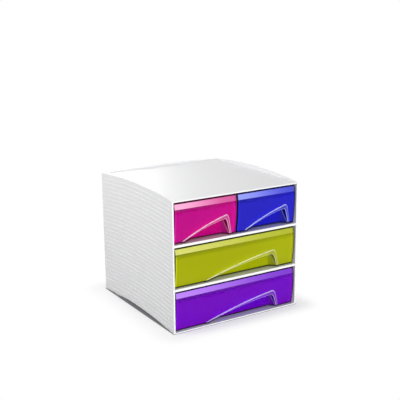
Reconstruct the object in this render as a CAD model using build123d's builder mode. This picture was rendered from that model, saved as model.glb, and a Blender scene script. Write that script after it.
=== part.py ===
"""Plastic drawer tower: a white casing with two small and two wide transparent drawers.

Millimetres, +Z up. The origin is under the middle of the casing, at the level it
stands on, and the drawer fronts face -Y.
"""

from build123d import *
import os
from math import sqrt

# Casing
casing_width = 185.4
casing_depth = 191.8
side_thickness = 2.0
rear_thickness = 2.0
base_thickness = 1.4
shelf_thickness = 3.0
top_thickness = 1.6
divider_thickness = 2.0
row_height = 52.0

# Curved edges: the side panels rise in an arc at the top and are arched below
side_rise = 5.5
rear_rise = 2.8

# Grooves on the outside of the side panels, parallel to the curved edges
groove_pitch = 5.5
groove_width = 1.4
groove_depth = 0.4
groove_margin = 3.0
groove_count = 29

# How the casing goes together
tongue_depth = 0.8
tongue_set_back = 6.0
tongue_step = 0.4
fit_clearance = 0.1
rear_inset = 1.2
divider_set_back = 12.0
divider_slot = 0.6
base_relief = 6.0
lug_length = 20.0
lug_height = 8.0
lug_thickness = 1.0
lug_set_back = 10.0

# Stops: a rib under each ceiling and a tab on each drawer's back wall
rib_set_back = 30.0
rib_thickness = 2.0
rib_height = 2.0
rib_width = 40.0
tab_width = 30.0
tab_top_gap = 1.0

# Drawers, both kinds
front_set_back = 3.3
front_side_gap = 0.7
front_top_gap = 1.7
front_middle_gap = 3.4
running_gap = 0.4
front_wall = 1.8
drawer_wall = 1.6
drawer_floor = 1.6
body_inset = 1.2
drawer_rear_gap = 2.0
side_wall_drop = 6.0
shoulder_length = 12.0
rear_corner_radius = 3.0

# Side profile of a drawer front: a slanted band along the top, a face that rolls back below
band_height = 8.2
band_slant = 1.6
roll_height = 36.0
roll_back = 3.5

# Finger scoop: a rising ridge with a lip, over a pocket that is open below
lip_width = 2.2
lip_projection = 1.4
ridge_height = 20.3
ridge_corner_radius = 8.0
pocket_corner_radius = 6.0
pocket_wall = 1.6

wide_scoop_start = 37.0
wide_scoop_end = 25.5
wide_ridge_lean = 7.6
wide_ridge_crown = 2.8
wide_pocket_depth = 11.2
wide_entry_length = 35.0
wide_exit_length = 9.0

small_scoop_start = 8.0
small_scoop_end = 7.1
small_ridge_lean = 5.9
small_ridge_crown = 1.0
small_pocket_depth = 13.7
small_entry_length = 30.0
small_exit_length = 9.0

# Levels and faces that follow from the sizes above
front = -casing_depth / 2
rear = casing_depth / 2
inner_half = casing_width / 2 - side_thickness
tongue_half = inner_half + tongue_depth - fit_clearance
rear_panel_front = rear - rear_inset - rear_thickness
bottom_row = base_thickness
lower_shelf_level = bottom_row + row_height
middle_row = lower_shelf_level + shelf_thickness
upper_shelf_level = middle_row + row_height
top_row = upper_shelf_level + shelf_thickness
top_level = top_row + row_height
casing_height = top_level + top_thickness
overshoot = 10.0


def arc_rise(offset, half_length, rise):
    """Height of a shallow arc over its chord, at a distance from its middle."""
    radius = (half_length**2 + rise**2) / (2 * rise)
    return sqrt(radius**2 - offset**2) - (radius - rise)


def side_rise_at(y):
    """Height of the side panels' arc at the depth y."""
    return arc_rise(y, casing_depth / 2, side_rise)


def make_side_panel(label, outer_face, inward):
    """Side panel with humped rim, arched foot, outer grooves and inner slots."""
    inner_face = outer_face + inward * side_thickness
    groove_front = front + groove_margin
    groove_rear = rear - groove_margin
    groove_end_rise = side_rise_at(groove_front)
    with BuildPart() as panel:
        with BuildSketch(Plane.YZ.offset(outer_face)):
            with BuildLine():
                ThreePointArc((front, 0), (0, side_rise), (rear, 0))
                Line((rear, 0), (rear, casing_height))
                ThreePointArc((rear, casing_height), (0, casing_height + side_rise), (front, casing_height))
                Line((front, casing_height), (front, 0))
            make_face()
        extrude(amount=inward * side_thickness)
        # Outer grooves, each one a thin band between two parallel arcs
        for index in range(1, groove_count + 1):
            low = index * groove_pitch - groove_width / 2
            high = low + groove_width
            with BuildSketch(Plane.YZ.offset(outer_face)):
                with BuildLine():
                    ThreePointArc(
                        (groove_front, low + groove_end_rise),
                        (0, low + side_rise),
                        (groove_rear, low + groove_end_rise),
                    )
                    Line((groove_rear, low + groove_end_rise), (groove_rear, high + groove_end_rise))
                    ThreePointArc(
                        (groove_rear, high + groove_end_rise),
                        (0, high + side_rise),
                        (groove_front, high + groove_end_rise),
                    )
                    Line((groove_front, high + groove_end_rise), (groove_front, low + groove_end_rise))
                make_face()
            extrude(amount=inward * groove_depth, mode=Mode.SUBTRACT)
        # Inner slots for the tongues of the shelves and the top panel, and for the rear panel
        slot_front = front + tongue_set_back - fit_clearance
        slot_length = rear_panel_front - slot_front
        with BuildSketch(Plane.YZ.offset(inner_face)):
            for level, thickness in (
                (lower_shelf_level, shelf_thickness),
                (upper_shelf_level, shelf_thickness),
                (top_level, top_thickness),
            ):
                with Locations((slot_front, level - fit_clearance)):
                    Rectangle(
                        slot_length,
                        thickness - tongue_step + 2 * fit_clearance,
                        align=(Align.MIN, Align.MIN),
                    )
            with Locations((rear_panel_front - fit_clearance, -overshoot)):
                Rectangle(
                    rear_thickness + 2 * fit_clearance,
                    casing_height + 3 * overshoot,
                    align=(Align.MIN, Align.MIN),
                )
        extrude(amount=-inward * tongue_depth, mode=Mode.SUBTRACT)
    panel.part.label = label
    return panel.part


def make_rear_panel():
    """Rear panel between the side panels; its curved top edge is the tray's rear rim."""
    with BuildPart() as panel:
        with BuildSketch(Plane.XZ.offset(-rear_panel_front)):
            with BuildLine():
                ThreePointArc((-tongue_half, 0), (0, rear_rise), (tongue_half, 0))
                Line((tongue_half, 0), (tongue_half, casing_height))
                ThreePointArc(
                    (tongue_half, casing_height),
                    (0, casing_height + rear_rise),
                    (-tongue_half, casing_height),
                )
                Line((-tongue_half, casing_height), (-tongue_half, 0))
            make_face()
        extrude(amount=-rear_thickness)
    panel.part.label = "rear_panel"
    return panel.part


def stop_ribs(centres):
    """Plan of the stop ribs, one over the middle of each drawer below."""
    with BuildSketch() as ribs:
        for centre in centres:
            with Locations((centre, front + rib_set_back)):
                Rectangle(rib_width, rib_thickness, align=(Align.CENTER, Align.MIN))
    return ribs.sketch


def make_plate(label, level, thickness, rib_centres, slot_level):
    """Shelf or top panel with side tongues, stop ribs and, where asked, the divider's slot."""
    plate_half = inner_half - fit_clearance
    plate_rear = rear_panel_front - fit_clearance
    tongue_front = front + tongue_set_back
    with BuildPart() as plate:
        with BuildSketch(Plane.XY.offset(level)):
            with Locations((0, front)):
                Rectangle(2 * plate_half, plate_rear - front, align=(Align.CENTER, Align.MIN))
        extrude(amount=thickness)
        # The tongues stay below the upper face, so that a tray of that outline rests on it
        with BuildSketch(Plane.XY.offset(level)):
            with Locations((0, tongue_front)):
                Rectangle(2 * tongue_half, plate_rear - tongue_front, align=(Align.CENTER, Align.MIN))
        extrude(amount=thickness - tongue_step)
        with BuildSketch(Plane.XY.offset(level)):
            add(stop_ribs(rib_centres))
        extrude(amount=-rib_height)
        if slot_level is not None:
            with BuildSketch(Plane.XY.offset(slot_level)):
                with Locations((0, front + divider_set_back - fit_clearance)):
                    Rectangle(
                        divider_thickness + 2 * fit_clearance,
                        casing_depth,
                        align=(Align.CENTER, Align.MIN),
                    )
            extrude(amount=divider_slot, mode=Mode.SUBTRACT)
    plate.part.label = label
    return plate.part


def make_base_panel():
    """Base: cut back along both sides above the arched feet, with a lug in each corner."""
    plate_half = inner_half - fit_clearance
    plate_rear = rear_panel_front - fit_clearance
    middle = (front + plate_rear) / 2
    relief_front = front + lug_set_back + lug_length
    relief_rear = plate_rear - lug_set_back - lug_length
    relief_half = plate_half - base_relief
    with BuildPart() as base:
        with BuildSketch():
            with Locations((0, front)):
                Rectangle(2 * plate_half, plate_rear - front, align=(Align.CENTER, Align.MIN))
            for side in (-1, 1):
                with BuildLine():
                    ThreePointArc(
                        (side * plate_half, relief_front),
                        (side * relief_half, middle),
                        (side * plate_half, relief_rear),
                    )
                    Line((side * plate_half, relief_rear), (side * plate_half, relief_front))
                make_face(mode=Mode.SUBTRACT)
        extrude(amount=base_thickness)
        lug_middle = lug_set_back + lug_length / 2
        with BuildSketch():
            for x in (lug_thickness / 2 - plate_half, plate_half - lug_thickness / 2):
                for y in (front + lug_middle, plate_rear - lug_middle):
                    with Locations((x, y)):
                        Rectangle(lug_thickness, lug_length)
        extrude(amount=lug_height)
    base.part.label = "base_panel"
    return base.part


def make_divider():
    """Upright plate between the two small drawers."""
    low = top_row - divider_slot + fit_clearance
    high = top_level + divider_slot - fit_clearance
    length = rear_panel_front - fit_clearance - (front + divider_set_back)
    with BuildPart() as divider:
        with BuildSketch(Plane.XY.offset(low)):
            with Locations((0, front + divider_set_back)):
                Rectangle(divider_thickness, length, align=(Align.CENTER, Align.MIN))
        extrude(amount=high - low)
    divider.part.label = "centre_divider"
    return divider.part


def front_face_line(row_floor, shift):
    """Side profile of a drawer front, from its bottom edge up, moved back by shift."""
    face = front + front_set_back + shift
    low = row_floor + running_gap
    high = row_floor + row_height - front_top_gap
    roll_top = low + roll_height
    radius = (roll_height**2 + roll_back**2) / (2 * roll_back)
    half_way = radius - sqrt(radius**2 - (roll_height / 2) ** 2)
    with BuildLine() as profile:
        ThreePointArc(
            (face + roll_back, low),
            (face + half_way, low + roll_height / 2),
            (face, roll_top),
        )
        Line((face, roll_top), (face, high - band_height))
        Line((face, high - band_height), (face + band_slant, high))
    return profile.line


def make_front_slab(row_floor, left, right, near, far):
    """Everything between the front's profile moved by near and by far, from left to right."""
    low = row_floor + running_gap
    high = row_floor + row_height - front_top_gap
    face = front + front_set_back
    with BuildPart() as slab:
        with BuildSketch(Plane.YZ.offset(left)):
            with BuildLine():
                add(front_face_line(row_floor, near))
                Line((face + near + band_slant, high), (face + far + band_slant, high))
                add(front_face_line(row_floor, far))
                Line((face + far + roll_back, low), (face + near + roll_back, low))
            make_face()
        extrude(amount=right - left)
    return slab.part


def make_pocket(row_floor, start, end, shape, grow_front=0.0, grow_plan=0.0):
    """Space under the ridge, from in front of the face to the pocket's back, or the same grown."""
    lean, crown, depth, entry_length, exit_length = shape
    low = row_floor + running_gap
    peak = (end - lean, low + ridge_height)
    middle = ((start + peak[0]) / 2, low + ridge_height / 2 + crown)
    face = front + front_set_back
    back = face + depth
    with BuildPart() as pocket:
        # Seen from the front: the ridge rises to its peak and drops to the right
        with BuildSketch(Plane.XZ.offset(-back - overshoot)):
            with BuildLine():
                ThreePointArc((start, low), middle, peak)
                Polyline(peak, (end, low), (end, low - overshoot), (start, low - overshoot), (start, low))
            make_face()
            fillet(vertices().sort_by(Axis.Y)[-1], radius=ridge_corner_radius)
            if grow_front > 0:
                offset(amount=grow_front)
        extrude(amount=back - front + 2 * overshoot)
        # Seen from above: a long slanting entry, a straight back and a short exit
        with BuildSketch(Plane.XY.offset(low - 2 * overshoot)):
            with BuildLine():
                Polyline(
                    (start, front - overshoot),
                    (start, face),
                    (start + entry_length, back),
                    (end - exit_length, back),
                    (end, face + roll_back),
                    (end, front - overshoot),
                    close=True,
                )
            make_face()
            fillet(vertices().group_by(Axis.Y)[-1], radius=pocket_corner_radius)
            if grow_plan > 0:
                offset(amount=grow_plan)
        extrude(amount=ridge_height + 4 * overshoot, mode=Mode.INTERSECT)
    return pocket.part


def make_drawer(label, row_floor, left, right, start_margin, end_margin, shape):
    """Drawer in one moulding: tray, wider front, and a scoop with a lip for the fingers."""
    low = row_floor + running_gap
    high = row_floor + row_height - front_top_gap
    side_top = row_floor + row_height - side_wall_drop
    face = front + front_set_back
    shoulder = face + band_slant + front_wall
    rear_outer = rear_panel_front - drawer_rear_gap
    rear_inner = rear_outer - drawer_wall
    body_left = left + body_inset
    body_right = right - body_inset
    pocket_depth = shape[2]
    start = left + start_margin
    end = right - end_margin
    front_panel = make_front_slab(row_floor, left, right, 0, front_wall)
    scoop_limit = make_front_slab(
        row_floor, body_left, body_right, -lip_projection, pocket_depth + 2 * pocket_wall
    )
    scoop_shell = make_pocket(row_floor, start, end, shape, lip_width, pocket_wall)
    pocket = make_pocket(row_floor, start, end, shape)
    with BuildPart() as scoop:
        add(scoop_shell)
        add(scoop_limit, mode=Mode.INTERSECT)
    with BuildPart() as drawer:
        with BuildSketch(Plane.YZ.offset(body_left)):
            with BuildLine():
                add(front_face_line(row_floor, 0))
                Polyline(
                    (face + band_slant, high),
                    (shoulder, high),
                    (face + shoulder_length, side_top),
                    (rear_outer, side_top),
                    (rear_outer, low),
                    (face + roll_back, low),
                )
            make_face()
        extrude(amount=body_right - body_left)
        fillet(drawer.edges().filter_by(Axis.Z).group_by(Axis.Y)[-1], radius=rear_corner_radius)
        # Hollow inside, open at the top
        with BuildSketch(Plane.YZ.offset(body_left + drawer_wall)):
            with BuildLine():
                add(front_face_line(row_floor, front_wall))
                Polyline(
                    (shoulder, high),
                    (shoulder, high + overshoot),
                    (rear_inner, high + overshoot),
                    (rear_inner, low),
                    (face + front_wall + roll_back, low),
                )
            make_face()
            with Locations((0, low + drawer_floor)):
                Rectangle(2 * casing_depth, overshoot, align=(Align.CENTER, Align.MAX), mode=Mode.SUBTRACT)
        extrude(amount=body_right - body_left - 2 * drawer_wall, mode=Mode.SUBTRACT)
        # Raised tab on the back wall, which meets the stop rib
        with BuildSketch(Plane.XY.offset(low)):
            with Locations(((body_left + body_right) / 2, rear_inner)):
                Rectangle(tab_width, drawer_wall, align=(Align.CENTER, Align.MIN))
        extrude(amount=row_height - running_gap - tab_top_gap)
        add(front_panel)
        add(scoop.part)
        add(pocket, mode=Mode.SUBTRACT)
    drawer.part.label = label
    return drawer.part


def main():
    """Build every piece, write it, and print the drawers' travel."""
    wide_left = -inner_half + front_side_gap
    wide_right = -wide_left
    small_inner = front_middle_gap / 2
    small_centre = (small_inner + wide_right) / 2
    wide_shape = (wide_ridge_lean, wide_ridge_crown, wide_pocket_depth, wide_entry_length, wide_exit_length)
    small_shape = (
        small_ridge_lean,
        small_ridge_crown,
        small_pocket_depth,
        small_entry_length,
        small_exit_length,
    )
    pieces = [
        make_side_panel("left_side_panel", -casing_width / 2, 1),
        make_side_panel("right_side_panel", casing_width / 2, -1),
        make_rear_panel(),
        make_base_panel(),
        make_plate("lower_shelf", lower_shelf_level, shelf_thickness, [0], None),
        make_plate("upper_shelf", upper_shelf_level, shelf_thickness, [0], top_row - divider_slot),
        make_plate("top_panel", top_level, top_thickness, [-small_centre, small_centre], top_level),
        make_divider(),
    ]
    for label, row_floor in (("bottom_drawer", bottom_row), ("middle_drawer", middle_row)):
        pieces.append(
            make_drawer(
                label, row_floor, wide_left, wide_right, wide_scoop_start, wide_scoop_end, wide_shape
            )
        )
    for label, left, right in (
        ("top_left_drawer", wide_left, -small_inner),
        ("top_right_drawer", small_inner, wide_right),
    ):
        pieces.append(
            make_drawer(label, top_row, left, right, small_scoop_start, small_scoop_end, small_shape)
        )
    os.makedirs("parts", exist_ok=True)
    for piece in pieces:
        export_step(piece, f"parts/{piece.label}.step")
    rear_inner = rear_panel_front - drawer_rear_gap - drawer_wall
    rib_rear = front + rib_set_back + rib_thickness
    print("drawer travel", round(rear_inner - rib_rear, 3))


main()
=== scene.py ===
"""Looks of the plastic drawer tower, laid out as an add-on and run as a script."""

import math
from collections import namedtuple

import bpy
import bmesh
from mathutils import Matrix, Vector


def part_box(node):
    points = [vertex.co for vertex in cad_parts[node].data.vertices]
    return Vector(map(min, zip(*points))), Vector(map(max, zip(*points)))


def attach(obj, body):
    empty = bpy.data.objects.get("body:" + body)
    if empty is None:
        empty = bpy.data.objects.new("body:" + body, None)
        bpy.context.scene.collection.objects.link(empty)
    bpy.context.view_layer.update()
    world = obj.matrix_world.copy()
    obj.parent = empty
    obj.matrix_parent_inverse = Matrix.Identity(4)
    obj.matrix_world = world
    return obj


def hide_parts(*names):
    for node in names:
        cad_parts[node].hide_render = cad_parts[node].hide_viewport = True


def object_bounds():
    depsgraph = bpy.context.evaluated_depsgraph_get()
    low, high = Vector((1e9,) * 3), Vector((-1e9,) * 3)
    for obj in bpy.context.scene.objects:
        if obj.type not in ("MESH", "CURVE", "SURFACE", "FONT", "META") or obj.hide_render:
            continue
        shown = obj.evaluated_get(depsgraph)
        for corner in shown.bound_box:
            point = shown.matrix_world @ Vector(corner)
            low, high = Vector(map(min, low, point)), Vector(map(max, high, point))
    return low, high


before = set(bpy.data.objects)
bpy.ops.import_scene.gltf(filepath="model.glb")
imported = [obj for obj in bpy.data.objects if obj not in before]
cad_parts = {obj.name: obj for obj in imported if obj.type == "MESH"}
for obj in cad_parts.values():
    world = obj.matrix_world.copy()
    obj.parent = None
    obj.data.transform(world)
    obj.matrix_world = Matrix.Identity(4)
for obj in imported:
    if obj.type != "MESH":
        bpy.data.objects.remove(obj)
cad_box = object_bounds()

bl_info = {
    "name": "Drawer Tower",
    "version": (1, 0, 0),
    "blender": (4, 5, 0),
    "location": "View3D > Sidebar > Drawer Tower",
    "description": "Dresses the white casing and its four transparent drawers",
    "category": "Object",
}

CASING_NODES = (
    "left_side_panel",
    "right_side_panel",
    "rear_panel",
    "base_panel",
    "lower_shelf",
    "upper_shelf",
    "top_panel",
    "centre_divider",
)

# Outlines and masks are in millimetres, meshes in metres
MM = 0.001
X_AXIS, Y_AXIS, Z_AXIS = 0, 1, 2

# Place of a drawer's front: its two ends, its face, its bottom edge, and the rear of its tray
Front = namedtuple("Front", "left right face low rear")

# Drawer fronts: how far they stand from the casing and from each other
FRONT_SET_BACK = 0.8
FRONT_SIDE_GAP = 1.5
FRONT_MIDDLE_GAP = 1.4
FRONT_WALL = 1.8

# Side profile of a front, from its bottom edge up
FRONT_HEIGHT = 49.9
ROLL_HEIGHT = 36.0
ROLL_BACK = 3.5
ROLL_RADIUS = (ROLL_HEIGHT**2 + ROLL_BACK**2) / (2 * ROLL_BACK)
ROLL_STEPS = 10
BAND_HEIGHT = 7.7
BAND_SLANT = 1.6

# The tray behind a front
TRAY_SET_BACK = 0.3
BODY_INSET = 0.6
WALL = 1.6
SIDE_HEIGHT = 45.6
SHOULDER_LENGTH = 12.0
CORNER_RADIUS = 3.0
TAB_WIDTH = 30.0
TAB_HEIGHT = 50.6

# Finger scoop: how far its ridge starts and ends from the front's ends, the height of its peak
# and how far that leans in, how much the ridge arches, and the pocket's depth with the lengths
# over which it deepens from its entry and comes back to its exit
Scoop = namedtuple("Scoop", "start end height lean crown depth entry exit")
WIDE_SCOOP = Scoop(
    start=42.0, end=25.6, height=19.5, lean=8.0, crown=3.0, depth=10.0, entry=24.0, exit=8.0
)
SMALL_SCOOP = Scoop(
    start=11.0, end=9.0, height=22.0, lean=7.0, crown=3.0, depth=11.0, entry=18.0, exit=7.0
)
RIDGE_STEPS = 28
RIDGE_ROUNDING = 5.5
POCKET_ROUNDING = 1.8
POCKET_WALL = 1.6

# Lip round the scoop: how far it reaches past the ridge, and how proud of the face it stands
LIP_FOOT = 1.0
LIP_SIDE = 2.4
LIP_RISE = 5.0
LIP_PROJECTION = 0.9

# Rounding of the solids, with angles in degrees
ROUNDING_STEPS = 6
TRAY_ROUNDING_STEPS = 5
EDGE_ROUNDING = 0.45
EDGE_ROUNDING_STEPS = 2
ROUNDED_ANGLE = 40.0
SHARP_ANGLE = 32.0

# How far cutting solids reach past what they cut
OVERSHOOT = 10.0

# When an edge counts as straight along an axis, and as lying at a level (in metres)
STRAIGHT = 0.999
TOUCHING = 1e-6

# Masks of the drawers' plastic: where each one begins and where it is full.
# Behind the flat of the front's face:
FRONT_MASK = (6.5, 5.0)
POCKET_MASK = (4.5, 5.5)
TRAY_MASK = (14.0, 15.0)
FOOT_REACH_MASK = (15.5, 14.5)
END_WALL_NEAR_MASK = (3.5, 4.5)
END_WALL_FAR_MASK = (14.0, 13.0)
# Proud of the front's rolled face, where what lies behind it is negative:
LIP_MASK = (0.3, 0.6)
OUTER_FACE_MASK = (-1.0, -0.8)
INSIDE_MASK = (-1.6, -1.7)
# From an edge, a corner, the bottom of the front or the scoop's end:
RIM_MASK = (1.45, 1.05)
LEFT_RIM_THINNING = 2.2
FOOT_MASK = (1.9, 1.4)
SEAM_MASK = (1.6, 1.3)
END_WALL_TOP_MASK = (24.0, 23.0)
END_WALL_END_MASK = (1.0, 0.5)
END_WALL_START_FADE = 1.0
BAND_SOFTNESS = 0.2
SHADE_HEIGHT = 7.0
# From behind the face to before the tray's rear:
REAR_SHADE_START, REAR_SHADE_STOP = 15.0, 10.0

# Share of the plastic's own body in what is seen, as against what shows through it
FRONT_VEIL = 0.4
TRAY_VEIL = 0.8
INNER_FACE_SHARE = 0.15
POCKET_SHARE = 0.6
FROST_AND_HIGHLIGHT_VEIL = 0.9
EDGE_ON_AND_SHADE_VEIL = 0.92

# Strength of frost, painted highlights and painted shade; a pair goes from the front's left end to
# its right end
BAND_FROST_AND_LIGHT = (0.95, 0.45)
LIP_HIGHLIGHT = 0.35
EDGE_HIGHLIGHT = 0.95
SHADE = 0.75
SHADE_ACROSS = (1.0, 0.6)
END_WALL_SHADE = 0.6
DEPTH_SHADE = 0.5

# Finish of the casing: fine grain and its relief, clouds of roughness and how far they stray
# below and above the setting
GRAIN = {"Scale": 900.0, "Detail": 3.0, "Roughness": 0.6}
GRAIN_RELIEF = {"Strength": 0.06, "Distance": 0.0002}
CLOUDS = {"Scale": 14.0, "Detail": 2.0}
SMOOTHER, ROUGHER = 0.06, 0.08
CASING_GLOSS = 0.5

# Finish of the drawers: ripples, and the roughness from their hollows to their crests
RIPPLES = {"Scale": 60.0, "Detail": 2.0}
RIPPLE_RANGE = (0.3, 0.7)
DRAWER_ROUGHNESS = (0.08, 0.16)
DRAWER_GLOSS = 0.22

# Camera, fitted to the casing's corners in the photograph: angles in degrees, places in metres,
# lens and sensor in millimetres
CAMERA_AZIMUTH = -31.6655
CAMERA_ELEVATION = 14.0123
CAMERA_ROLL = -0.4916
CAMERA_DISTANCE = 1.0593
CAMERA_AIM = (0.0, 0.0, 0.0825)
CAMERA_ASIDE = 0.0035143
CAMERA_RAISED = 0.0505930
CAMERA_LENS = 71.059
CAMERA_SENSOR = 36.0

# Lamps: place, place that they point at, width and height, all in metres, and power in watts
TOWER = (0.0, 0.0, 0.08)
TOP_LEFT_EDGE = (-0.09, 0.0, 0.15)
LAMPS = {
    "key": ((-0.2, -1.6, 0.2), TOWER, (0.9, 0.25), 21.5),
    "above": ((0.5, 0.0, 1.4), TOWER, (1.0, 1.0), 2.7),
    "fill": ((-0.62, 0.1, 0.56), TOP_LEFT_EDGE, (0.35, 0.35), 3.0),
    "rear": ((0.3, 1.6, 0.8), TOWER, (1.0, 1.0), 7.0),
}
WHITE = (1.0, 1.0, 1.0, 1.0)
AIR_LIGHT = 0.3

# Floor: half its width in metres, and how it turns white from the casing's outline outwards
FLOOR_REACH = 6.0
FLOOR_EDGE_MASK = (0.5, 2.0)
FLOOR_FADE = 35.0
FLOOR_EDGE_SHARE = 0.55
# Painted shadow: floor colour under the casing
FLOOR_PAINTED_SHADOW = (0.3, 0.3, 0.3, 1.0)
FLOOR_COLOUR = (0.9, 0.9, 0.9, 1.0)
FLOOR_BOUNCE = (0.3, 0.3, 0.3, 1.0)


# Shapes


def arc(start, middle, end, steps):
    """Points along the arc from start through middle to end."""
    (ax, ay), (bx, by), (cx, cy) = start, middle, end
    cross = 2 * (ax * (by - cy) + bx * (cy - ay) + cx * (ay - by))
    a, b, c = ax**2 + ay**2, bx**2 + by**2, cx**2 + cy**2
    x = (a * (by - cy) + b * (cy - ay) + c * (ay - by)) / cross
    y = (a * (cx - bx) + b * (ax - cx) + c * (bx - ax)) / cross
    radius = math.hypot(ax - x, ay - y)
    first = math.atan2(ay - y, ax - x)
    turn = math.remainder(math.atan2(cy - y, cx - x) - first, 2 * math.pi)
    angles = [first + turn * step / steps for step in range(steps + 1)]
    return [(x + radius * math.cos(angle), y + radius * math.sin(angle)) for angle in angles]


def make_prism(outline, axis, near, far):
    """Closed solid with this outline across an axis, from near to far along it."""
    solid = bmesh.new()
    corners = []
    for pair in outline:
        place = list(pair)
        place.insert(axis, near)
        corners.append(solid.verts.new([value * MM for value in place]))
    solid.faces.new(corners)
    grown = bmesh.ops.extrude_face_region(solid, geom=solid.faces[:])
    reach = Vector()
    reach[axis] = (far - near) * MM
    ends = [item for item in grown["geom"] if isinstance(item, bmesh.types.BMVert)]
    bmesh.ops.translate(solid, vec=reach, verts=ends)
    bmesh.ops.recalc_face_normals(solid, faces=solid.faces[:])
    return solid


def round_edges(solid, edges, reach, segments=ROUNDING_STEPS):
    """Round edges of a solid, over this reach along the faces beside them."""
    bmesh.ops.bevel(
        solid,
        geom=edges,
        offset=reach * MM,
        offset_type="OFFSET",
        segments=segments,
        profile=0.5,
        affect="EDGES",
        material=-1,
    )


def edges_along(solid, axis):
    """Edges of a solid that run along an axis."""
    chosen = []
    for edge in solid.edges:
        run = edge.verts[1].co - edge.verts[0].co
        if abs(run[axis]) > STRAIGHT * run.length:
            chosen.append(edge)
    return chosen


def edges_at(edges, axis, level):
    """Those of some edges that start at a level along an axis."""
    return [edge for edge in edges if abs(edge.verts[0].co[axis] - level * MM) < TOUCHING]


def place_solid(solid, name):
    """Turn a solid into an object of the scene."""
    mesh = bpy.data.meshes.new(name)
    solid.to_mesh(mesh)
    solid.free()
    piece = bpy.data.objects.new(name, mesh)
    bpy.context.scene.collection.objects.link(piece)
    return piece


def combine(piece, solid, operation):
    """Unite, intersect or cut a piece with a solid."""
    tool = place_solid(solid, "tool")
    modifier = piece.modifiers.new("combine", "BOOLEAN")
    modifier.operation = operation
    modifier.solver = "EXACT"
    modifier.object = tool
    evaluated = piece.evaluated_get(bpy.context.evaluated_depsgraph_get())
    result = bpy.data.meshes.new_from_object(evaluated)
    piece.modifiers.clear()
    piece.data = result
    bpy.data.objects.remove(tool)


def as_solid(piece):
    """Take a piece out of the scene and return its shape."""
    solid = bmesh.new()
    solid.from_mesh(piece.data)
    bpy.data.objects.remove(piece)
    return solid


def front_profile(face, low):
    """Side profile of a front: rolls back at the bottom, slants back along the top."""
    half_way = ROLL_RADIUS - math.sqrt(ROLL_RADIUS**2 - (ROLL_HEIGHT / 2) ** 2)
    roll = arc(
        (face + ROLL_BACK, low),
        (face + half_way, low + ROLL_HEIGHT / 2),
        (face, low + ROLL_HEIGHT),
        ROLL_STEPS,
    )
    high = low + FRONT_HEIGHT
    return roll + [(face, high - BAND_HEIGHT), (face + BAND_SLANT, high)]


def make_slab(front, near, far):
    """Everything between the front's profile moved by near and by far."""
    outline = front_profile(front.face + near, front.low)
    outline += front_profile(front.face + far, front.low)[::-1]
    return make_prism(outline, X_AXIS, front.left, front.right)


def make_ridge_block(front, scoop, start, end, rise):
    """Everything under the ridge's arch, seen from the front."""
    peak = (end - scoop.lean, front.low + scoop.height + rise)
    middle = ((start + peak[0]) / 2, front.low + (scoop.height + rise) / 2 + scoop.crown)
    outline = arc((start, front.low), middle, peak, RIDGE_STEPS)
    outline += [(end, front.low), (end, front.low - OVERSHOOT), (start, front.low - OVERSHOOT)]
    back = front.face + scoop.depth
    block = make_prism(outline, Y_AXIS, front.face - OVERSHOOT, back + 2 * OVERSHOOT)
    crest = max(vert.co.z for vert in block.verts) / MM
    round_edges(block, edges_at(edges_along(block, Y_AXIS), Z_AXIS, crest), RIDGE_ROUNDING)
    return block


def make_plan_block(front, scoop, start, end, grow):
    """Everything inside the pocket's outline, seen from above."""
    back = front.face + scoop.depth + grow
    plan = [
        (start - grow, front.face - OVERSHOOT),
        (start - grow, front.face + grow),
        (start + scoop.entry - grow / 2, back),
        (end - scoop.exit + grow / 2, back),
        (end + grow, front.face + ROLL_BACK + grow),
        (end + grow, front.face - OVERSHOOT),
    ]
    block = make_prism(plan, Z_AXIS, front.low - 2 * OVERSHOOT, front.low + FRONT_HEIGHT)
    round_edges(block, edges_at(edges_along(block, Z_AXIS), Y_AXIS, back), POCKET_ROUNDING)
    return block


def make_pocket(front, scoop, grow=0.0, foot=0.0, side=0.0, rise=0.0):
    """Space under the ridge, or with margins the body of the lip and the pocket's walls."""
    start = front.left + scoop.start - foot
    end = front.right - scoop.end + side
    pocket = place_solid(make_ridge_block(front, scoop, start, end, rise), "pocket")
    combine(pocket, make_plan_block(front, scoop, start, end, grow), "INTERSECT")
    return as_solid(pocket)


def make_tray(body):
    """A drawer's body before it is hollowed, rounded below and at its rear corners."""
    outline = front_profile(body.face + TRAY_SET_BACK, body.low) + [
        (body.face + BAND_SLANT + FRONT_WALL, body.low + FRONT_HEIGHT),
        (body.face + SHOULDER_LENGTH, body.low + SIDE_HEIGHT),
        (body.rear, body.low + SIDE_HEIGHT),
        (body.rear, body.low),
    ]
    tray = make_prism(outline, X_AXIS, body.left, body.right)
    upright = edges_at(edges_along(tray, Z_AXIS), Y_AXIS, body.rear)
    beside = edges_at(edges_along(tray, Y_AXIS), Z_AXIS, body.low)
    behind = edges_at(edges_at(edges_along(tray, X_AXIS), Z_AXIS, body.low), Y_AXIS, body.rear)
    round_edges(tray, upright + beside + behind, CORNER_RADIUS, TRAY_ROUNDING_STEPS)
    return tray


def make_hollow(body):
    """The space inside a drawer's body."""
    floor, above = body.low + WALL, body.low + FRONT_HEIGHT + OVERSHOOT
    inner_rear = body.rear - WALL
    profile = front_profile(body.face + FRONT_WALL, body.low)
    profile = [point for point in profile if point[1] > floor]
    outline = [(profile[0][0], floor)] + profile + [(profile[-1][0], above)]
    outline += [(inner_rear, above), (inner_rear, floor)]
    hollow = make_prism(outline, X_AXIS, body.left + WALL, body.right - WALL)
    at_rear = edges_at(edges_along(hollow, Z_AXIS), Y_AXIS, inner_rear)
    round_edges(hollow, at_rear, CORNER_RADIUS - WALL)
    return hollow


def make_tab(body):
    """Raised tab on the rear wall, which ends the drawer's travel."""
    middle = (body.left + body.right) / 2
    left, right = middle - TAB_WIDTH / 2, middle + TAB_WIDTH / 2
    inner_rear = body.rear - WALL
    outline = [(left, inner_rear), (right, inner_rear), (right, body.rear), (left, body.rear)]
    return make_prism(outline, Z_AXIS, body.low + CORNER_RADIUS, body.low + TAB_HEIGHT)


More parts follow.
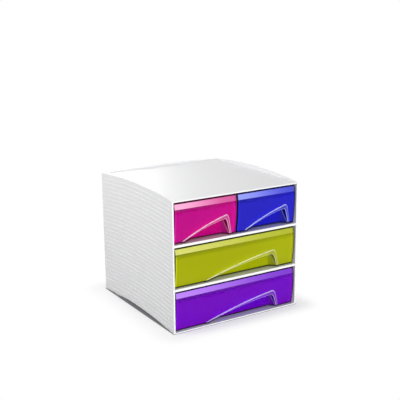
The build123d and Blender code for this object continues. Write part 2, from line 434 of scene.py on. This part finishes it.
def mould_drawer(node, front, scoop):
    """Shape of one drawer: hollow tray, tab, front, lip and finger scoop."""
    body = front._replace(left=front.left + BODY_INSET, right=front.right - BODY_INSET)
    drawer = place_solid(make_tray(body), node + "_moulding")
    combine(drawer, make_hollow(body), "DIFFERENCE")
    combine(drawer, make_tab(body), "UNION")
    combine(drawer, make_slab(front, 0.0, FRONT_WALL), "UNION")
    margins = {"grow": POCKET_WALL, "foot": LIP_FOOT, "side": LIP_SIDE, "rise": LIP_RISE}
    shell = place_solid(make_pocket(front, scoop, **margins), "shell")
    reach = scoop.depth + 2 * POCKET_WALL
    combine(shell, make_slab(body, -LIP_PROJECTION, reach), "INTERSECT")
    combine(drawer, as_solid(shell), "UNION")
    combine(drawer, make_pocket(front, scoop), "DIFFERENCE")
    drawer.data.name = node + "_moulding"
    return drawer


def round_moulding(drawer):
    """Smooth a drawer's faces and round its edges, which get its second material."""
    for polygon in drawer.data.polygons:
        polygon.use_smooth = True
    drawer.data.set_sharp_from_angle(angle=math.radians(SHARP_ANGLE))
    rounding = drawer.modifiers.new("rounded edges", "BEVEL")
    rounding.width = EDGE_ROUNDING * MM
    rounding.segments = EDGE_ROUNDING_STEPS
    rounding.limit_method = "ANGLE"
    rounding.angle_limit = math.radians(ROUNDED_ANGLE)
    rounding.material = 1
    rounding.use_clamp_overlap = False
    rounding.harden_normals = True


def make_drawer(node, front, scoop):
    """One drawer, standing for a node of the frame."""
    drawer = mould_drawer(node, front, scoop)
    round_moulding(drawer)
    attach(drawer, node + "_body")
    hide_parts(node)
    return drawer


def drawer_ends():
    """Each drawer's node and hue, its front's left and right ends, and its scoop."""
    wall_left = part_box("left_side_panel")[1][0] / MM
    wall_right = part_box("right_side_panel")[0][0] / MM
    middle = (wall_left + wall_right) / 2
    left, right = wall_left + FRONT_SIDE_GAP, wall_right - FRONT_SIDE_GAP
    inner_left, inner_right = middle - FRONT_MIDDLE_GAP / 2, middle + FRONT_MIDDLE_GAP / 2
    return (
        ("top_left_drawer", "pink", left, inner_left, SMALL_SCOOP),
        ("top_right_drawer", "blue", inner_right, right, SMALL_SCOOP),
        ("middle_drawer", "lime", left, right, WIDE_SCOOP),
        ("bottom_drawer", "purple", left, right, WIDE_SCOOP),
    )


def place_front(node, left, right):
    """Place of a drawer's front between two ends, in its row of the casing."""
    lowest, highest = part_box(node)
    casing_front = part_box("left_side_panel")[0][1] / MM
    return Front(left, right, casing_front + FRONT_SET_BACK, lowest[2] / MM, highest[1] / MM)


# Materials

# Colours of a clear plastic: light through it, its own body, its edges seen edge-on and its painted
# shade, and where it is frosted and where it carries painted highlights
Plastic = namedtuple("Plastic", "tint body dark pale")


def new_material(name):
    """Empty node material: returns it with its node tree and its output node."""
    material = bpy.data.materials.new(name)
    material.use_nodes = True
    tree = material.node_tree
    tree.nodes.clear()
    output = tree.nodes.new("ShaderNodeOutputMaterial")
    return material, tree, output


def add_node(tree, kind, **inputs):
    """Shader node with values for its input sockets, by name with _ for a space."""
    node = tree.nodes.new(kind)
    for name, value in inputs.items():
        node.inputs[name.replace("_", " ")].default_value = value
    return node


def add_noise(tree, place, **inputs):
    """Value of a noise pattern at a place."""
    noise = add_node(tree, "ShaderNodeTexNoise", **inputs)
    tree.links.new(place, noise.inputs["Vector"])
    return noise.outputs["Fac"]


def object_place(tree):
    """Place in the object's own frame, in metres."""
    return tree.nodes.new("ShaderNodeTexCoord").outputs["Object"]


def white_plastic_material(colour, roughness):
    """Moulded white plastic: even colour, fine satin grain."""
    material, tree, output = new_material("white_plastic")
    link = tree.links.new
    place = object_place(tree)
    least, most = roughness - SMOOTHER, roughness + ROUGHER
    satin = add_node(tree, "ShaderNodeMapRange", To_Min=least, To_Max=most)
    link(add_noise(tree, place, **CLOUDS), satin.inputs["Value"])
    bump = add_node(tree, "ShaderNodeBump", **GRAIN_RELIEF)
    link(add_noise(tree, place, **GRAIN), bump.inputs["Height"])
    plastic = add_node(tree, "ShaderNodeBsdfPrincipled", Specular_IOR_Level=CASING_GLOSS)
    plastic.inputs["Base Color"].default_value = colour
    link(satin.outputs["Result"], plastic.inputs["Roughness"])
    link(bump.outputs["Normal"], plastic.inputs["Normal"])
    link(plastic.outputs["BSDF"], output.inputs["Surface"])
    return material


class Sums:
    """Small sums in a node tree, on plain values and on outputs of its nodes."""

    def __init__(self, tree):
        self.tree = tree

    def feed(self, socket, value):
        """Give an input a plain value or the output of another node."""
        if isinstance(value, bpy.types.NodeSocket):
            self.tree.links.new(value, socket)
        else:
            socket.default_value = value

    def make(self, operation, first, second):
        """Value of one sum on two values."""
        node = self.tree.nodes.new("ShaderNodeMath")
        node.operation = operation
        self.feed(node.inputs[0], first)
        self.feed(node.inputs[1], second)
        return node.outputs["Value"]

    def chain(self, operation, values):
        """Value of one kind of sum on several values."""
        total = values[0]
        for value in values[1:]:
            total = self.make(operation, total, value)
        return total

    def less(self, first, second):
        """First value less the second."""
        return self.make("SUBTRACT", first, second)

    def least(self, *values):
        """Smallest of several values."""
        return self.chain("MINIMUM", values)

    def most(self, *values):
        """Largest of several values."""
        return self.chain("MAXIMUM", values)

    def product(self, *values):
        """Several values multiplied."""
        return self.chain("MULTIPLY", values)

    def vector(self, operation, *places, result="Vector"):
        """Result of one sum on places or other vectors."""
        node = self.tree.nodes.new("ShaderNodeVectorMath")
        node.operation = operation
        for socket, value in zip(node.inputs, places):
            self.feed(socket, value)
        return node.outputs[result]

    def in_millimetres(self, place):
        """Place given in metres, in millimetres."""
        return self.vector("MULTIPLY", place, (1 / MM, 1 / MM, 1 / MM))

    def ramp(self, value, start, end, low=0.0, high=1.0):
        """Value that goes smoothly from low to high while the given one goes from start to end."""
        node = add_node(
            self.tree, "ShaderNodeMapRange", From_Min=start, From_Max=end, To_Min=low, To_Max=high
        )
        node.interpolation_type = "SMOOTHSTEP"
        self.feed(node.inputs["Value"], value)
        return node.outputs["Result"]

    def mix_colour(self, factor, first, second):
        """Colour between two others."""
        node = self.tree.nodes.new("ShaderNodeMix")
        node.data_type = "RGBA"
        self.feed(node.inputs["Factor"], factor)
        colours = [socket for socket in node.inputs if socket.type == "RGBA"]
        for socket, value in zip(colours, (first, second)):
            self.feed(socket, value)
        return next(socket for socket in node.outputs if socket.type == "RGBA")


class DrawerMasks(Sums):
    """Where the parts of one drawer lie, as values from 0 to 1 in its material."""

    def __init__(self, tree, place, front, scoop):
        super().__init__(tree)
        self.front, self.scoop = front, scoop
        split = tree.nodes.new("ShaderNodeSeparateXYZ")
        tree.links.new(self.in_millimetres(place), split.inputs["Vector"])
        self.x, y, z = split.outputs
        self.depth = self.less(y, front.face)
        self.to_low = self.less(z, front.low)
        self.to_high = self.less(front.low + FRONT_HEIGHT, z)
        self.in_front = self.ramp(self.depth, *FRONT_MASK)
        self.proud = self.proud_of_face()

    def proud_of_face(self):
        """How far a place stands before the front's rolled face."""
        below = self.most(self.less(ROLL_HEIGHT, self.to_low), 0.0)
        rolled_back = self.make("DIVIDE", self.product(below, below), 2 * ROLL_RADIUS)
        return self.less(rolled_back, self.depth)

    def across(self, left, right):
        """Value that goes from one at the front's left end to another at its right end."""
        return self.ramp(self.x, self.front.left, self.front.right, left, right)

    def rim(self):
        """Rim of the front: dark plastic seen edge-on, with painted shade of the gap round it,
        thinner on the left.
        """
        to_left = self.product(self.less(self.x, self.front.left), LEFT_RIM_THINNING)
        to_right = self.less(self.front.right, self.x)
        to_edge = self.least(self.least(to_left, to_right), self.least(self.to_low, self.to_high))
        return self.product(self.ramp(to_edge, *RIM_MASK), self.in_front)

    def foot(self):
        """Foot of the front and of the pocket's wall: dark edge-on plastic with painted shade along
        the bottom.
        """
        return self.product(
            self.ramp(self.to_low, *FOOT_MASK), self.ramp(self.depth, *FOOT_REACH_MASK)
        )

    def end_wall(self):
        """End wall of the pocket, which turns away from the light."""
        past_end = self.less(self.x, self.front.right - self.scoop.end)
        start = -self.scoop.exit
        return self.product(
            self.ramp(past_end, start - END_WALL_START_FADE, start),
            self.ramp(past_end, *END_WALL_END_MASK),
            self.ramp(self.depth, *END_WALL_NEAR_MASK),
            self.ramp(self.depth, *END_WALL_FAR_MASK),
            self.ramp(self.to_low, *END_WALL_TOP_MASK, 0.0, END_WALL_SHADE),
        )

    def outline(self):
        """Dark parts of the drawer: edge-on plastic, and painted shade in the gaps, at the foot and
        on the pocket's end wall.
        """
        return self.most(self.rim(), self.foot(), self.end_wall())

    def band(self):
        """Pale band along the top of the front: partly a frosted strip, partly painted light from
        above, which fades to the right.
        """
        band = self.ramp(self.to_high, BAND_HEIGHT + BAND_SOFTNESS, BAND_HEIGHT - BAND_SOFTNESS)
        return self.product(band, self.in_front, self.across(*BAND_FROST_AND_LIGHT))

    def lip(self):
        """Painted highlight on the raised lip of the scoop, which stands proud of the face."""
        return self.ramp(self.proud, *LIP_MASK, 0.0, LIP_HIGHLIGHT)

    def seam(self):
        """Inner corners of the tray, along the floor and up the front's inside, catch the light."""
        inset = BODY_INSET + WALL
        from_left = self.less(self.x, self.front.left + inset)
        from_right = self.less(self.front.right - inset, self.x)
        from_floor = self.less(self.to_low, WALL)
        from_front = self.less(self.product(self.proud, -1.0), FRONT_WALL)
        from_walls = self.least(from_left, from_right)
        from_corner = self.most(from_walls, self.least(from_floor, from_front))
        return self.product(self.ramp(from_corner, *SEAM_MASK), self.ramp(self.proud, *INSIDE_MASK))

    def shade(self):
        """Shade that the shelf above throws just under the band, weaker to the right."""
        return self.product(
            self.ramp(self.to_high, BAND_HEIGHT, BAND_HEIGHT + SHADE_HEIGHT, SHADE, 0.0),
            self.ramp(self.to_high, BAND_HEIGHT - BAND_SOFTNESS, BAND_HEIGHT),
            self.across(*SHADE_ACROSS),
            self.in_front,
        )

    def rear_shade(self):
        """Painted shade: the colour deepens towards the rear of the tray, where less light reaches.
        """
        stop = self.front.rear - self.front.face - REAR_SHADE_STOP
        return self.ramp(self.depth, REAR_SHADE_START, stop, 0.0, DEPTH_SHADE)

    def bare_veil(self):
        """Share of the plastic's body where it is plain: most in the tray, least inside the front."""
        veil = self.ramp(self.depth, *TRAY_MASK, FRONT_VEIL, TRAY_VEIL)
        outer_face = self.ramp(self.proud, *OUTER_FACE_MASK, INNER_FACE_SHARE, 1.0)
        in_pocket = self.ramp(self.depth, *POCKET_MASK, 0.0, POCKET_SHARE)
        in_tray = self.ramp(self.depth, *TRAY_MASK)
        return self.product(veil, self.most(outer_face, in_pocket, in_tray))


def clear_plastic_material(name, plastic, front, scoop, edge):
    """Tinted clear plastic of one drawer, or of its rounded edges, which are paler with a painted
    highlight.
    """
    material, tree, output = new_material(name)
    link = tree.links.new
    place = object_place(tree)
    masks = DrawerMasks(tree, place, front, scoop)
    pale, least_highlight = plastic.pale, 0.0
    # The rounded edges get a painted highlight: a pale colour halfway to white over all of them
    if edge:
        pale, least_highlight = tuple((value + 1.0) / 2 for value in pale), EDGE_HIGHLIGHT
    outline, shade = masks.outline(), masks.shade()
    # Paleness: frost of the band with painted light on it, and painted highlights on the lip, the
    # rounded edges and the inner corners
    frost_and_highlight = masks.most(masks.band(), least_highlight, masks.lip(), masks.seam())
    # Painted shade under the band and towards the tray's rear
    painted_shade = masks.most(shade, masks.rear_shade())
    surface = masks.mix_colour(painted_shade, plastic.body, plastic.dark)
    surface = masks.mix_colour(frost_and_highlight, surface, pale)
    # Dark edge-on rims, with painted shade in the gaps, at the foot and on the pocket's end wall
    surface = masks.mix_colour(outline, surface, plastic.dark)
    # The frosted share holds both the frost and the painted highlights
    frosted, edge_on_and_shade_share = masks.product(frost_and_highlight, FROST_AND_HIGHLIGHT_VEIL), masks.product(outline, EDGE_ON_AND_SHADE_VEIL)
    veil = masks.most(masks.bare_veil(), shade, frosted, edge_on_and_shade_share)
    ripples = add_noise(tree, place, **RIPPLES)
    roughness = masks.ramp(ripples, *RIPPLE_RANGE, *DRAWER_ROUGHNESS)
    through = add_node(tree, "ShaderNodeBsdfTransparent", Color=plastic.tint)
    solid = add_node(tree, "ShaderNodeBsdfPrincipled", Specular_IOR_Level=DRAWER_GLOSS)
    link(surface, solid.inputs["Base Color"])
    link(roughness, solid.inputs["Roughness"])
    mix = tree.nodes.new("ShaderNodeMixShader")
    link(veil, mix.inputs["Fac"])
    link(through.outputs["BSDF"], mix.inputs[1])
    link(solid.outputs["BSDF"], mix.inputs[2])
    link(mix.outputs["Shader"], output.inputs["Surface"])
    return material


def dress(node, material):
    """Give a node of the frame its material."""
    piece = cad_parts[node]
    piece.data.materials.clear()
    piece.data.materials.append(material)


# Stage


def place_camera(settings):
    """Camera at the photograph's angle, with the small shift of its framing."""
    azimuth, elevation, roll = settings.azimuth, settings.elevation, math.radians(CAMERA_ROLL)
    back = Vector(
        (
            math.sin(azimuth) * math.cos(elevation),
            -math.cos(azimuth) * math.cos(elevation),
            math.sin(elevation),
        )
    )
    level = Vector((math.cos(azimuth), math.sin(azimuth), 0.0))
    right = level * math.cos(roll) + back.cross(level) * math.sin(roll)
    up = back.cross(right)
    place = Vector(CAMERA_AIM) + right * CAMERA_ASIDE + up * CAMERA_RAISED + back * settings.distance
    data = bpy.data.cameras.new("camera")
    data.lens = CAMERA_LENS
    data.sensor_width = CAMERA_SENSOR
    camera = bpy.data.objects.new("camera", data)
    turn = Matrix((right, up, back)).transposed().to_4x4()
    camera.matrix_world = Matrix.Translation(place) @ turn
    bpy.context.scene.collection.objects.link(camera)
    bpy.context.scene.camera = camera


def add_lamp(name, place, aim, size, power):
    """Area lamp of a width and a height at a place, pointing at another."""
    data = bpy.data.lights.new(name, "AREA")
    data.energy = power
    data.shape = "RECTANGLE"
    data.size, data.size_y = size
    lamp = bpy.data.objects.new(name, data)
    lamp.location = place
    lamp.rotation_euler = (Vector(aim) - Vector(place)).to_track_quat("-Z", "Y").to_euler()
    bpy.context.scene.collection.objects.link(lamp)


def white_to_viewer(tree, shader, output, share):
    """Show a share of plain white to the camera and in gloss and glass, and the shader elsewhere."""
    path = tree.nodes.new("ShaderNodeLightPath")
    rays = [path.outputs[f"Is {kind} Ray"] for kind in ("Camera", "Glossy", "Transmission")]
    sums = Sums(tree)
    factor = sums.product(sums.most(*rays), share)
    in_world = output.bl_idname == "ShaderNodeOutputWorld"
    kind = "ShaderNodeBackground" if in_world else "ShaderNodeEmission"
    white = add_node(tree, kind, Color=WHITE, Strength=1.0)
    mix = tree.nodes.new("ShaderNodeMixShader")
    tree.links.new(factor, mix.inputs["Fac"])
    tree.links.new(shader.outputs[0], mix.inputs[1])
    tree.links.new(white.outputs[0], mix.inputs[2])
    tree.links.new(mix.outputs["Shader"], output.inputs["Surface"])


def distance_from_casing(sums, place):
    """Distance of a place on the floor from the tower's outline, in millimetres."""
    lowest, highest = (Vector((corner[0], corner[1], 0.0)) / MM for corner in cad_box)
    from_centre = sums.vector("SUBTRACT", sums.in_millimetres(place), (lowest + highest) / 2)
    beyond = sums.vector("SUBTRACT", sums.vector("ABSOLUTE", from_centre), (highest - lowest) / 2)
    outside = sums.vector("MAXIMUM", beyond, (0.0, 0.0, 0.0))
    return sums.vector("LENGTH", outside, result="Value")


def floor_material():
    """Pale matt floor: painted shadow under the casing, shaded close to it, plain white further out.
    """
    material, tree, output = new_material("pale_floor")
    sums = Sums(tree)
    distance = distance_from_casing(sums, object_place(tree))
    past_edge = sums.ramp(distance, *FLOOR_EDGE_MASK)
    fading = sums.ramp(distance, FLOOR_EDGE_MASK[1], FLOOR_FADE, 0.0, 1.0 - FLOOR_EDGE_SHARE)
    share = sums.make("ADD", sums.product(past_edge, FLOOR_EDGE_SHARE), fading)
    to_camera = tree.nodes.new("ShaderNodeLightPath").outputs["Is Camera Ray"]
    tone = sums.mix_colour(to_camera, FLOOR_BOUNCE, FLOOR_COLOUR)
    # Painted shadow: a darker floor colour under the casing's outline
    tone = sums.mix_colour(past_edge, FLOOR_PAINTED_SHADOW, tone)
    matt = tree.nodes.new("ShaderNodeBsdfDiffuse")
    tree.links.new(tone, matt.inputs["Color"])
    white_to_viewer(tree, matt, output, share)
    return material


def lay_floor():
    """Wide floor under the tower."""
    sheet = bmesh.new()
    bmesh.ops.create_grid(sheet, x_segments=1, y_segments=1, size=FLOOR_REACH)
    floor = place_solid(sheet, "floor")
    floor.data.materials.append(floor_material())


def fill_air(scene):
    """White surroundings that give a weak even light."""
    world = bpy.data.worlds.new("studio")
    world.use_nodes = True
    scene.world = world
    tree = world.node_tree
    tree.nodes.clear()
    output = tree.nodes.new("ShaderNodeOutputWorld")
    air = add_node(tree, "ShaderNodeBackground", Color=WHITE, Strength=AIR_LIGHT)
    white_to_viewer(tree, air, output, 1.0)


# Settings

# The dark colour also paints shade, and the pale colour also paints the highlights of the lip, the
# rounded edges and the inner corners
THROUGH = "Tint that light takes at each face of this plastic"
BODY = "Colour of the plastic's own body"
DARK = "Colour of the plastic where it is seen edge-on"
PALE = "Colour of the frosted band and of the edges"


def colour_property(name, description, default):
    """Colour setting of one plastic."""
    return bpy.props.FloatVectorProperty(
        name=name,
        description=description,
        subtype="COLOR",
        size=4,
        default=default + (1.0,),
        min=0.0,
        max=1.0,
    )


class DrawerTowerCasing(bpy.types.PropertyGroup):
    """Colour and finish of the casing."""

    colour: colour_property("Plastic colour", "Colour of the casing's plastic", (0.86, 0.86, 0.87))
    roughness: bpy.props.FloatProperty(
        name="Roughness",
        description="How matt the casing's plastic is",
        subtype="FACTOR",
        default=0.35,
        min=0.0,
        max=1.0,
    )


class DrawerTowerDrawers(bpy.types.PropertyGroup):
    """Colours of the four drawers."""

    pink_tint: colour_property("Pink tint", THROUGH, (1.0, 0.04, 0.75))
    pink_body: colour_property("Pink body", BODY, (1.0, 0.003, 0.50))
    pink_dark: colour_property("Pink edge-on", DARK, (0.07, 0.0, 0.02))
    pink_pale: colour_property("Pink pale", PALE, (1.0, 0.50, 0.74))
    blue_tint: colour_property("Blue tint", THROUGH, (0.16, 0.16, 1.0))
    blue_body: colour_property("Blue body", BODY, (0.04, 0.035, 1.0))
    blue_dark: colour_property("Blue edge-on", DARK, (0.002, 0.002, 0.06))
    blue_pale: colour_property("Blue pale", PALE, (0.34, 0.39, 1.0))
    lime_tint: colour_property("Yellow-green tint", THROUGH, (0.97, 1.0, 0.04))
    lime_body: colour_property("Yellow-green body", BODY, (0.74, 0.80, 0.002))
    lime_dark: colour_property("Yellow-green edge-on", DARK, (0.02, 0.03, 0.0))
    lime_pale: colour_property("Yellow-green pale", PALE, (0.70, 0.71, 0.17))
    purple_tint: colour_property("Purple tint", THROUGH, (0.60, 0.03, 1.0))
    purple_body: colour_property("Purple body", BODY, (0.36, 0.002, 0.98))
    purple_dark: colour_property("Purple edge-on", DARK, (0.012, 0.0, 0.04))
    purple_pale: colour_property("Purple pale", PALE, (0.54, 0.26, 0.97))


class DrawerTowerStage(bpy.types.PropertyGroup):
    """Place of the camera."""

    azimuth: bpy.props.FloatProperty(
        name="Camera azimuth",
        description="Angle of the camera round the tower from its front; to the left it is negative",
        subtype="ANGLE",
        default=math.radians(CAMERA_AZIMUTH),
    )
    elevation: bpy.props.FloatProperty(
        name="Camera elevation",
        description="Angle of the camera above the horizon",
        subtype="ANGLE",
        default=math.radians(CAMERA_ELEVATION),
    )
    distance: bpy.props.FloatProperty(
        name="Camera distance",
        description="Distance from the camera to the middle of the tower",
        subtype="DISTANCE",
        unit="LENGTH",
        default=CAMERA_DISTANCE,
    )


# Operators


class DRAWERTOWER_OT_casing(bpy.types.Operator):
    """Dress the casing's panels, shelves and divider in white plastic."""

    bl_idname = "drawer_tower.casing"
    bl_label = "Casing"

    def execute(self, context):
        settings = context.scene.drawer_tower_casing
        plastic = white_plastic_material(settings.colour, settings.roughness)
        for node in CASING_NODES:
            dress(node, plastic)
        return {"FINISHED"}


class DRAWERTOWER_OT_drawers(bpy.types.Operator):
    """Mould the four drawers in transparent tinted plastic."""

    bl_idname = "drawer_tower.drawers"
    bl_label = "Drawers"

    def execute(self, context):
        settings = context.scene.drawer_tower_drawers
        for node, hue, left, right, scoop in drawer_ends():
            front = place_front(node, left, right)
            drawer = make_drawer(node, front, scoop)
            colours = [tuple(getattr(settings, f"{hue}_{part}")) for part in Plastic._fields]
            for name, edge in ((hue + "_plastic", False), (hue + "_edge", True)):
                material = clear_plastic_material(name, Plastic(*colours), front, scoop, edge)
                drawer.data.materials.append(material)
        return {"FINISHED"}


class DRAWERTOWER_OT_stage(bpy.types.Operator):
    """Set up the floor, the light and the camera."""

    bl_idname = "drawer_tower.stage"
    bl_label = "Stage"

    def execute(self, context):
        place_camera(context.scene.drawer_tower_stage)
        lay_floor()
        fill_air(context.scene)
        context.scene.view_settings.view_transform = "Standard"
        for name, lamp in LAMPS.items():
            add_lamp(name, *lamp)
        return {"FINISHED"}


class DRAWERTOWER_PT_panel(bpy.types.Panel):
    """Lists the tower's pieces and settings."""

    bl_idname = "DRAWERTOWER_PT_panel"
    bl_label = "Drawer Tower"
    bl_space_type = "VIEW_3D"
    bl_region_type = "UI"
    bl_category = "Drawer Tower"

    def draw(self, context):
        for operator in OPERATORS:
            self.layout.operator(operator.bl_idname)
        for name in SETTINGS:
            settings = getattr(context.scene, name)
            for key in settings.__annotations__:
                self.layout.prop(settings, key)


OPERATORS = (DRAWERTOWER_OT_casing, DRAWERTOWER_OT_drawers, DRAWERTOWER_OT_stage)
SETTINGS = {
    "drawer_tower_casing": DrawerTowerCasing,
    "drawer_tower_drawers": DrawerTowerDrawers,
    "drawer_tower_stage": DrawerTowerStage,
}


def register():
    """Add the settings, the operators and the panel."""
    for name, group in SETTINGS.items():
        bpy.utils.register_class(group)
        setattr(bpy.types.Scene, name, bpy.props.PointerProperty(type=group))
    for item in OPERATORS + (DRAWERTOWER_PT_panel,):
        bpy.utils.register_class(item)


def unregister():
    """Take the panel, the operators and the settings out again."""
    for item in reversed(OPERATORS + (DRAWERTOWER_PT_panel,)):
        bpy.utils.unregister_class(item)
    for name, group in reversed(SETTINGS.items()):
        delattr(bpy.types.Scene, name)
        bpy.utils.unregister_class(group)


def main():
    """Register the add-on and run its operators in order."""
    register()
    bpy.ops.drawer_tower.casing()
    bpy.ops.drawer_tower.drawers()
    bpy.ops.drawer_tower.stage()


if __name__ == "__main__":
    main()
